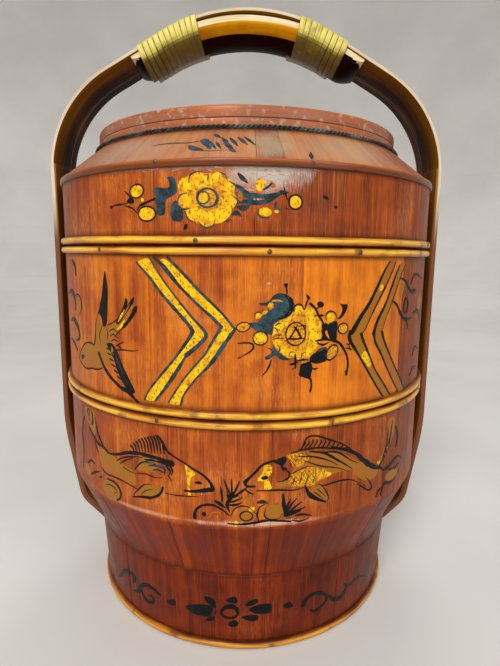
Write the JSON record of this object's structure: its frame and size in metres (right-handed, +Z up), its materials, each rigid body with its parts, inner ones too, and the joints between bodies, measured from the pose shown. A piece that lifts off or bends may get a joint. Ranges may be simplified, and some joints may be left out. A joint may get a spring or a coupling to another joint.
{
  "type": "tiered food basket",
  "caption": "Round tiered bamboo food basket with a stacked lower tier, middle tier and lid, a bent bamboo carrying handle and a rattan-bound grip.",
  "frame": {"origin": "middle of the circle that the foot's lower edge makes on the surface it stands on", "axes": "+Z up the stack, +X from one handle upright to the other, -Y towards the painted front"},
  "size_m": [0.3116, 0.3, 0.461],
  "materials": {
    "lacquered_staves": "glossy lacquer",
    "bare_wood": "bare",
    "bamboo_hoop": "lacquered",
    "smoked_bamboo": "lacquered",
    "golden_culm": "polished skin",
    "rattan_strip": "satin",
    "dark_cord": "twisted, waxed",
    "iron_nail": "worn",
    "painted_decoration": "brushed lacquer paint",
    "gilt_decoration": "gold-coloured lacquer paint"
  },
  "bodies": {
    "lower_tier": {"foot_ring": "lacquered_staves", "foot_hoop": "bamboo_hoop", "lower_tier_wall": "lacquered_staves", "lower_tier_floor": "bare_wood", "lower_tier_hoop": "bamboo_hoop", "lower_tier_lip": "bare_wood", "handle_strap": "smoked_bamboo", "handle_grip": "golden_culm", "handle_lashing_left": "rattan_strip", "handle_lashing_right": "rattan_strip", "ridge_nail_left_front": "iron_nail", "ridge_nail_left_back": "iron_nail", "ridge_nail_right_front": "iron_nail", "ridge_nail_right_back": "iron_nail", "toe_nail_left": "iron_nail", "toe_nail_right": "iron_nail"},
    "middle_tier": {"middle_tier_wall": "lacquered_staves", "middle_tier_floor": "bare_wood", "middle_tier_bottom_hoop": "bamboo_hoop", "middle_tier_top_hoop": "bamboo_hoop", "middle_tier_lip": "bare_wood"},
    "lid": {"lid_wall": "lacquered_staves", "lid_hoop": "bamboo_hoop", "lid_edge_strip": "lacquered_staves", "lid_shoulder": "lacquered_staves", "lid_collar_band": "lacquered_staves", "lid_collar_rim": "lacquered_staves", "lid_collar_cord": "dark_cord", "lid_top_panel": "lacquered_staves"}
  },
  "joints": [
    {"name": "middle_tier_lift", "type": "slide", "parent": "lower_tier", "child": "middle_tier", "axis": [0, 0, 1], "range_m": [0, 0.014]},
    {"name": "lid_lift", "type": "slide", "parent": "middle_tier", "child": "lid", "axis": [0, 0, 1], "range_m": [0, 0.014]}
  ]
}
